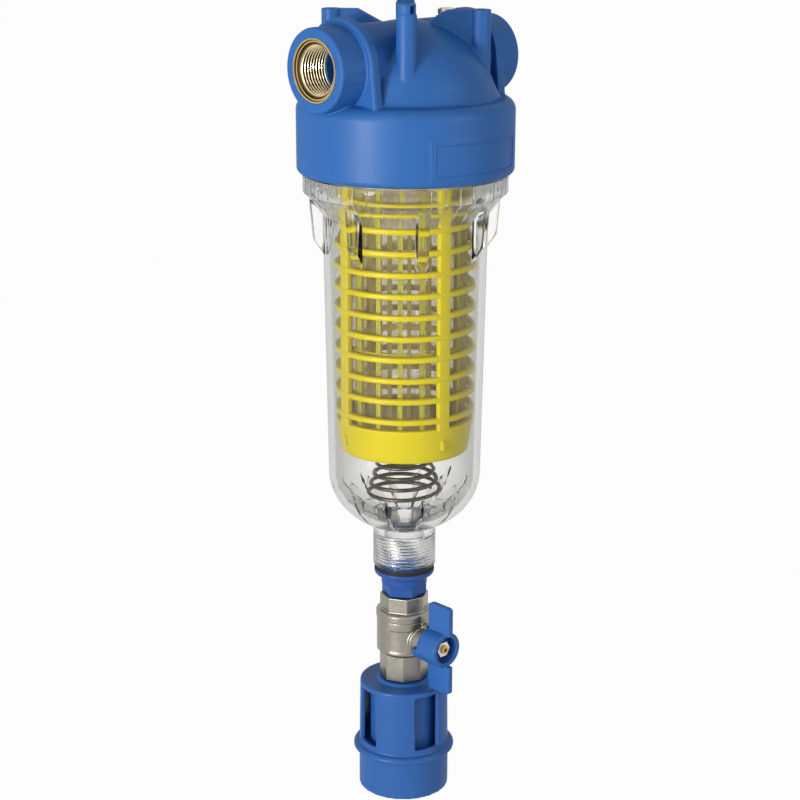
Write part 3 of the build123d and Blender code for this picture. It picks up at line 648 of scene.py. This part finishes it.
def bowl_outer_skin(angle):
    """Outer surface over height and angle: r is the profile, cut by the flutes and the thread and pushed
    out by the lugs."""
    profile = bowl_outside()
    r, z = profile[:, :1] + 0 * angle, profile[:, 1:] + 0 * angle
    beside = np.abs(nearest_copy(angle, flute_count, 0)) * flange_r / flute_half
    grooved = (z < flute_top_z) & (r > wall_high_r)
    r = r - flute_depth * np.clip(1 - beside**2, 0, 1) * grooved * np.clip((z - shoulder_z) / flute_run, 0, 1)
    away = np.abs(nearest_copy(angle, lug_count, lug_turn)) * lug_middle_r
    wall_r = wall_at(z)
    face_r = lug_low_r + (lug_top_r - lug_low_r) * (z - lug_corner_z) / (lug_top_z - lug_corner_z)
    foot_share = np.clip((z - lug_foot_z) / (lug_corner_z - lug_foot_z), 0, 1)
    foot_r = wall_r + (lug_low_r - wall_r) * foot_share
    lug_r = np.where(z > lug_corner_z, face_r, foot_r) - lug_edge * (away > 0.8 * lug_half)
    is_lug = (away < 1.01 * lug_half) & (z > lug_foot_z) & (z < lug_top_z)
    r = np.where(is_lug, np.maximum(r, lug_r), r)
    on_screw = (z > screw_low_z) & (np.abs(r - screw_r) < same_radius)
    run_in = np.clip((z - screw_low_z) / screw_low_run, 0, 1)
    run_out = np.clip((screw_high_z - z) / screw_high_run, 0, 1)
    cut = screw_depth * (1 - thread_wave(z, angle, screw_pitch)) * (run_in * run_out)
    r = r - np.where(on_screw, cut, 0)
    return np.stack([r * np.cos(angle), r * np.sin(angle), z], axis=-1)


def bowl_inner_skin(angle):
    """Inner surface over height and angle: r is the profile, cut by the neck's thread, and z is lifted to
    the crest of each blade."""
    profile = bowl_inside()
    r, z = profile[:, :1] + 0 * angle, profile[:, 1:] + 0 * angle
    on_thread = (z < neck_thread_top_z - 0.5 * mm) & (np.abs(r - neck_bore_r) < same_radius)
    run = np.clip((z - neck_z) / neck_thread_run, 0, 1)
    r = r + np.where(on_thread, neck_thread_depth * thread_wave(z, angle, insert_pitch) * run, 0)
    off = np.abs(nearest_copy(angle, blade_count, blade_turn)) * r
    is_blade = (off < 1.05 * blade_half) & (z < blade_tip_z) & (z > neck_thread_top_z + 2 * mm)
    z = np.where(is_blade, np.maximum(z, np.interp(r, *blade_crest.T)), z)
    return np.stack([r * np.cos(angle), r * np.sin(angle), z], axis=-1)


# The plastic is nearly smooth, hazy inside the flange and in the neck, and painted dark grey where
# it is seen edge on, as painted shade. Lamps shine straight through it. A sloping line in the shoulder,
# r = a radius + a slope times the height above the shoulder's foot, tells the inner skin from the outer one.
plain_roughness = 0.03
flange_roughness = 0.22
neck_roughness = 0.24
skin_slope = 0.6
skin_r = 41.9 * mm
skin_line = skin_slope * shoulder_z - skin_r
skin_blend = 0.5 * mm
shoulder_blend = 1.5 * mm
clear_plastic, tree = new_material("clear_plastic")
surface = node(tree, "BsdfPrincipled", IOR=1.46, Transmission_Weight=1.0, Specular_Tint=(0.4, 0.4, 0.4, 1))
place = node(tree, "TexCoord")
split = node(tree, "SeparateXYZ")
join(tree, place, "Object", split, 0)
sideways = worked_out(tree, "VectorMath", "MULTIPLY", (place, "Object"), (1, 1, 0))
reach = worked_out(tree, "VectorMath", "LENGTH", (sideways, 0))
less = worked_out(tree, "Math", "MULTIPLY", (reach, "Value"), -1.0)
inward = worked_out(tree, "Math", "MULTIPLY_ADD", (split, "Z"), skin_slope, (less, 0))
inner_face = spread(tree, inward, 0, 0.0, 1.0, skin_line - skin_blend, skin_line + skin_blend)
low_z, high_z = shoulder_z - shoulder_blend, shoulder_z + shoulder_blend
flange_haze = spread(tree, split, "Z", 0.0, flange_roughness, low_z, high_z)
high_z, low_z = neck_z + 21.0 * mm, neck_z + 18.0 * mm
neck_haze = spread(tree, split, "Z", plain_roughness, neck_roughness, high_z, low_z)
rough = worked_out(tree, "Math", "MULTIPLY_ADD", (flange_haze, 0), (inner_face, 0), (neck_haze, 0))
join(tree, rough, 0, surface, "Roughness")
# Painted shade: the base colour goes from near white to dark grey as the surface turns edge on.
slant = node(tree, "LayerWeight", Blend=0.5)
tone_and_edge_shade = node(tree, "Mix", data_type="RGBA")
tone_and_edge_shade.inputs[6].default_value = (0.965, 0.965, 0.955, 1)
tone_and_edge_shade.inputs[7].default_value = (0.24, 0.24, 0.21, 1)
join(tree, slant, "Facing", tone_and_edge_shade, 0)
join(tree, tone_and_edge_shade, 2, surface, "Base Color")
path = node(tree, "LightPath")
lit = worked_out(tree, "Math", "MAXIMUM", (path, "Is Shadow Ray"), (path, "Is Diffuse Ray"))
passing = node(tree, "BsdfTransparent", Color=(0.94, 0.95, 0.93, 1))
join(tree, mixed(tree, lit, surface, passing), 0, tree.nodes["Material Output"], "Surface")
angles = bowl_angles()[None, :]
bowl_skin = np.concatenate([bowl_outer_skin(angles), bowl_inner_skin(angles)])
bowl = surfaces("bowl_moulding", [(bowl_skin, True, True)], 30.0)
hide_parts("bowl")
finish_piece(bowl, clear_plastic, "bowl_body")

# Panel frame: a thin raised line round the bare panel on the skirt, moulded with the head.
low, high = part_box("head")
panel_r = -low.y
panel_middle_z = low.z + 13.4 * mm
panel_half = math.radians(31.0) * panel_r
panel_h = 20.0 * mm
frame_inset = 2.3 * mm
frame_round = 1.0 * mm
frame_half_w = 0.42 * mm
frame_rise = 0.38 * mm


def rounded_loop(width, height, radius, steps):
    """Closed loop of a rounded rectangle about its middle: four quarter arcs joined by straight sides."""
    quarter = np.repeat(np.arange(4), steps)
    angle = np.radians(quarter * 90 + np.tile(np.linspace(0, 90, steps), 4))
    side_x = np.array([1, -1, -1, 1])[quarter]
    side_y = np.array([1, 1, -1, -1])[quarter]
    x = side_x * (width / 2 - radius) + radius * np.cos(angle)
    y = side_y * (height / 2 - radius) + radius * np.sin(angle)
    return np.stack([x, y], axis=-1)


def evenly(loop, count):
    """The same closed loop with its points spread evenly along it."""
    closed = np.concatenate([loop, loop[:1]])
    way = np.concatenate([[0], np.cumsum(np.linalg.norm(np.diff(closed, axis=0), axis=1))])
    place = np.linspace(0, way[-1], count, endpoint=False)
    return np.stack([np.interp(place, way, closed[:, 0]), np.interp(place, way, closed[:, 1])], axis=-1)


# The bead is a small ellipse carried along the loop: u runs round the skirt and v up it, and
# r = the skirt's radius + rise sin a.
loop = rounded_loop(2 * (panel_half - frame_inset), panel_h - 2 * frame_inset, frame_round, 8)
loop = evenly(loop, 420)
ahead= np.roll(loop, -1, axis=0) - np.roll(loop, 1, axis=0)
across = np.stack([ahead[:, 1], -ahead[:, 0]], axis=-1) / np.linalg.norm(ahead, axis=1)[:, None]
round_it = np.linspace(0, 2 * np.pi, 10, endpoint=False)[None, :]
along_u = loop[:, :1] + frame_half_w * across[:, :1] * np.cos(round_it)
along_v = loop[:, 1:] + frame_half_w * across[:, 1:] * np.cos(round_it)
radius = panel_r + frame_rise * np.sin(round_it)
turn_u = along_u / panel_r - np.pi / 2
bead = np.stack([radius * np.cos(turn_u), radius * np.sin(turn_u), panel_middle_z + along_v], axis=-1)
frame_line = surfaces("panel_frame", [(bead, True, True)], 60.0)
finish_piece(frame_line, head_blue, "head_body")

# Cartridge cage: one moulding of bright yellow plastic: a cup-shaped bottom cap, thirteen rings
# with rounded edges and four bars that join them, each with a small pip under it on the cap.
cage_low, cage_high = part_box("cartridge_cage")
cap_z = cage_low.z + 2.0 * mm
cap_top_z = cap_z + 18.7 * mm
cap_floor_z = cap_z + 3.0 * mm
cap_low_r = 34.2 * mm
cap_high_r = 36.6 * mm
cap_round = 1.8 * mm
cap_lip_round = 0.7 * mm
boss_r = 9.8 * mm
boss_w = 1.6 * mm
boss_h = 2.6 * mm
boss_round = 0.3 * mm
boss_drop = 0.7 * mm
cage_inner_r = 33.7 * mm
ring_r = 37.3 * mm
ring_h = 3.0 * mm
ring_round = 1.05 * mm
ring_count = 13
ring_first_z = cap_top_z + 4.8 * mm
ring_step = 11.14 * mm
bar_r = 36.9 * mm
bar_width = 6.8 * mm
bar_round = 0.9 * mm
bar_sink = 1.0 * mm
bar_count = 4
bar_turn = math.radians(-100.5)
mark_r = 35.6 * mm
mark_z = cap_top_z - 9.3 * mm
mark_deep = 2.4 * mm
mark_wide = 2.2 * mm
mark_round = 0.7 * mm


def capped(loops):
    """Rows of closed loops, closed at both ends by their middle points."""
    first = loops[:1].mean(axis=1, keepdims=True) + 0 * loops[:1]
    last = loops[-1:].mean(axis=1, keepdims=True) + 0 * loops[-1:]
    return np.concatenate([first, loops, last])


def upright(section, turn, middle_r, heights, shrink):
    """Bar with a (radial, sideways) section that stands at an angle; shrink scales it at each height."""
    x = middle_r + section[None, :, 0] * shrink[:, None]
    y = section[None, :, 1] * shrink[:, None]
    z = heights[:, None] + 0 * x
    turned_x = x * math.cos(turn) - y * math.sin(turn)
    turned_y = x * math.sin(turn) + y * math.cos(turn)
    return capped(np.stack([turned_x, turned_y, z], axis=-1))


cap_corner = arc((cap_low_r - cap_round, cap_z + cap_round), cap_round, -90, -7, 9)
cap_side = straight((*cap_corner[-1], 10), (cap_high_r, cap_top_z - cap_lip_round, 0))
cap_profile = np.concatenate([
    straight((0, cap_z, 10), (cap_low_r - cap_round, cap_z, 0)),
    cap_corner,
    cap_side[1:],
    arc((cap_high_r - cap_lip_round, cap_top_z - cap_lip_round), cap_lip_round, 0, 90, 6),
    straight(
        (cap_high_r - cap_lip_round, cap_top_z, 4),
        (cage_inner_r, cap_top_z, 4),
        (cage_inner_r, cap_floor_z, 10),
        (0, cap_floor_z, 0),
    ),
    [(0, cap_floor_z)],
])
boss = rounded_loop(boss_w, boss_h, boss_round, 4) + (boss_r, cap_z - boss_drop)
patches = [(spun(cap_profile, 160), False, True), (spun(boss, 96), True, True)]
ring_loop = rounded_loop(ring_r - cage_inner_r, ring_h, ring_round, 7)
for step in range(ring_count):
    middle = ((ring_r + cage_inner_r) / 2, ring_first_z + ring_step * step)
    patches.append((spun(ring_loop + middle, 180), True, True))
bar_loop = rounded_loop(bar_r - cage_inner_r, bar_width, bar_round, 6)
bar_heights = np.array([cap_top_z - bar_sink, cage_high.z])
mark_loop = rounded_loop(mark_deep, mark_wide, mark_round, 5)
mark_heights = mark_z + np.array([-2.9, -2.5, 2.3, 2.7]) * mm
mark_shrink = np.array([0.7, 1, 1, 0.7])
for step in range(bar_count):
    turn = bar_turn + step * 2 * np.pi / bar_count
    bar = upright(bar_loop, turn, (bar_r + cage_inner_r) / 2, bar_heights, np.ones(2))
    mark = upright(mark_loop, turn, mark_r, mark_heights, mark_shrink)
    patches += [(bar, False, True), (mark, False, True)]
cage_yellow = moulded("cage_yellow", (0.840, 0.680, 0.003), 0.36, 1300.0, 0.03)
cage = surfaces("cage_moulding", patches, 40.0)
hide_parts("cartridge_cage")
finish_piece(cage, cage_yellow, "cartridge")

# Core and collar: the inner sleeve of ribs, in a duller yellow, and the top ring of the cartridge.
core_yellow = moulded("core_yellow", (0.660, 0.620, 0.012), 0.5, 1300.0, 0.05)
dress(core_yellow, "cartridge_core")
dress(cage_yellow, "cartridge_collar")

# Filter mesh: a fine tan cloth. Its threads are finer than a pixel, so it is drawn as a surface that
# lets most light straight through, with speckles and upright streaks where the threads lie closer.
thread_tan = (0.64, 0.53, 0.30, 1)
mesh_cloth, tree = new_material("mesh_cloth")
place = node(tree, "TexCoord")
stretch = node(tree, "Mapping", Scale=(1.0, 1.0, 0.35))
join(tree, place, "Object", stretch, "Vector")
speckle = node(tree, "TexNoise", Scale=1100.0, Detail=2.0, Roughness=0.7)
streak = node(tree, "TexNoise", Scale=260.0, Detail=2.0)
join(tree, place, "Object", speckle, "Vector")
join(tree, stretch, 0, streak, "Vector")
both = worked_out(tree, "Math", "MULTIPLY", (speckle, 0), (streak, 0))
cover = spread(tree, both, 0, 0.10, 0.42, 0.16, 0.36)
thread = node(tree, "BsdfDiffuse", Color=thread_tan)
glow_through = node(tree, "BsdfTranslucent", Color=thread_tan)
cloth = mixed(tree, 0.4, thread, glow_through)
hole = node(tree, "BsdfTransparent")
join(tree, mixed(tree, cover, hole, cloth), 0, tree.nodes["Material Output"], "Surface")
dress(mesh_cloth, "filter_mesh")

# Spring: dark steel wire wound into a cone of five turns, wide at the bowl's blades. A small circle
# is carried along the coil, whose radius and height both change evenly with the angle.
spring_low, spring_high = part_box("cartridge_spring")
spring_height = spring_high.z - spring_low.z
wire_r = 1.1 * mm
spring_low_r = 20.4 * mm
spring_high_r = 12.0 * mm
spring_turns = 5
share = np.linspace(0, 1, 96 * spring_turns + 1)[:, None]
angle = share * spring_turns * 2 * np.pi
coil_r = spring_low_r + (spring_high_r - spring_low_r) * share
coil_z = spring_low.z + wire_r + (spring_height - 2 * wire_r) * share
round_it = np.linspace(0, 2 * np.pi, 14, endpoint=False)[None, :]
r = coil_r + wire_r * np.cos(round_it)
wire = np.stack([r * np.cos(angle), r * np.sin(angle), coil_z + wire_r * np.sin(round_it)], axis=-1)
spring_steel = turned_metal("spring_steel", (0.115, 0.092, 0.070), 0.38, 600.0, 0.3)
spring = surfaces("spring_wire", [(capped(wire), False, True)], 60.0)
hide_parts("cartridge_spring")
finish_piece(spring, spring_steel, "bowl_body")
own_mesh(spring)

# Drain adapter: a blue reducing nipple with a hexagon, a collar and a rounded sealing flange.
# Painted shade: the adapter's blue is a darker copy of the cup's blue.
deep_blue = moulded("deep_blue", (0.018, 0.084, 0.330), 0.28, 1500.0, 0.04, 0.012)
adapter = softened("adapter_moulding", "drain_adapter", 0.4 * mm, 2)
finish_piece(adapter, deep_blue, "bowl_body")

# Ball valve: a casting and its screwed end piece, both nickel plated, with a chromed ball between
# white seats. The plating is satin, and the casting keeps the faint grain of its mould.
cast_nickel = turned_metal("cast_nickel", (0.330, 0.310, 0.262), 0.34, 950.0, 0.22, 0.3)
for name, source in (("valve_casting", "valve_body"), ("valve_end", "valve_end_cap")):
    housing = softened(name, source, 0.34 * mm, 2)
    finish_piece(housing, cast_nickel, "bowl_body")
chromed, tree = new_material("chromed_ball")
surface = node(tree, "BsdfPrincipled", Metallic=1.0, Roughness=0.08, Base_Color=(0.8, 0.8, 0.8, 1))
join(tree, surface, 0, tree.nodes["Material Output"], "Surface")
white_seat = moulded("white_seat", (0.80, 0.80, 0.77), 0.4, 900.0, 0.02)
brass = turned_metal("brass", (0.62, 0.42, 0.17), 0.24, 900.0, 0.25)
dress(chromed, "valve_ball")
dress(white_seat, "seat_upper", "seat_lower", "stem_washer")
dress(brass, "valve_stem")

# Handle and nut: a blue butterfly handle, glossier than the head, held by a zinc plated flanged nut.
handle_blue = moulded("handle_blue", (0.028, 0.130, 0.405), 0.24, 1500.0, 0.04, 0.01)
handle = softened("handle_moulding", "valve_handle", 0.36 * mm, 2)
finish_piece(handle, handle_blue, "valve_key")
zinc = turned_metal("zinc_nut", (0.70, 0.71, 0.72), 0.3, 1200.0, 0.15)
nut = softened("nut_plated", "handle_nut", 0.13 * mm, 2)
finish_piece(nut, zinc, "valve_key")

# Drain cup: a blue moulding with four windows to the air, an inner funnel and a plain pipe spigot.
cup_voxel = 0.6 * mm
cup_keep = 0.8
funnel_low_r, funnel_high_r = 14.0 * mm, 16.7 * mm
funnel_low_z, funnel_high_z = 10.0 * mm, 60.5 * mm
funnel_widening = 2.2 * mm


def widen_funnel(shape):
    """Lets the inner funnel fill more of the cup, so that no light falls straight through it."""
    for point in shape.verts:
        reach = math.hypot(point.co.x, point.co.y)
        if funnel_low_r < reach < funnel_high_r and funnel_low_z < point.co.z < funnel_high_z:
            point.co.x *= (reach + funnel_widening) / reach
            point.co.y *= (reach + funnel_widening) / reach


cup_blue = moulded("cup_blue", (0.026, 0.116, 0.372), 0.34, 1500.0, 0.04, 0.012)
cup = softened("cup_moulding", "drain_cup", cup_voxel, 2, cup_keep, widen_funnel)
finish_piece(cup, cup_blue, "bowl_body")
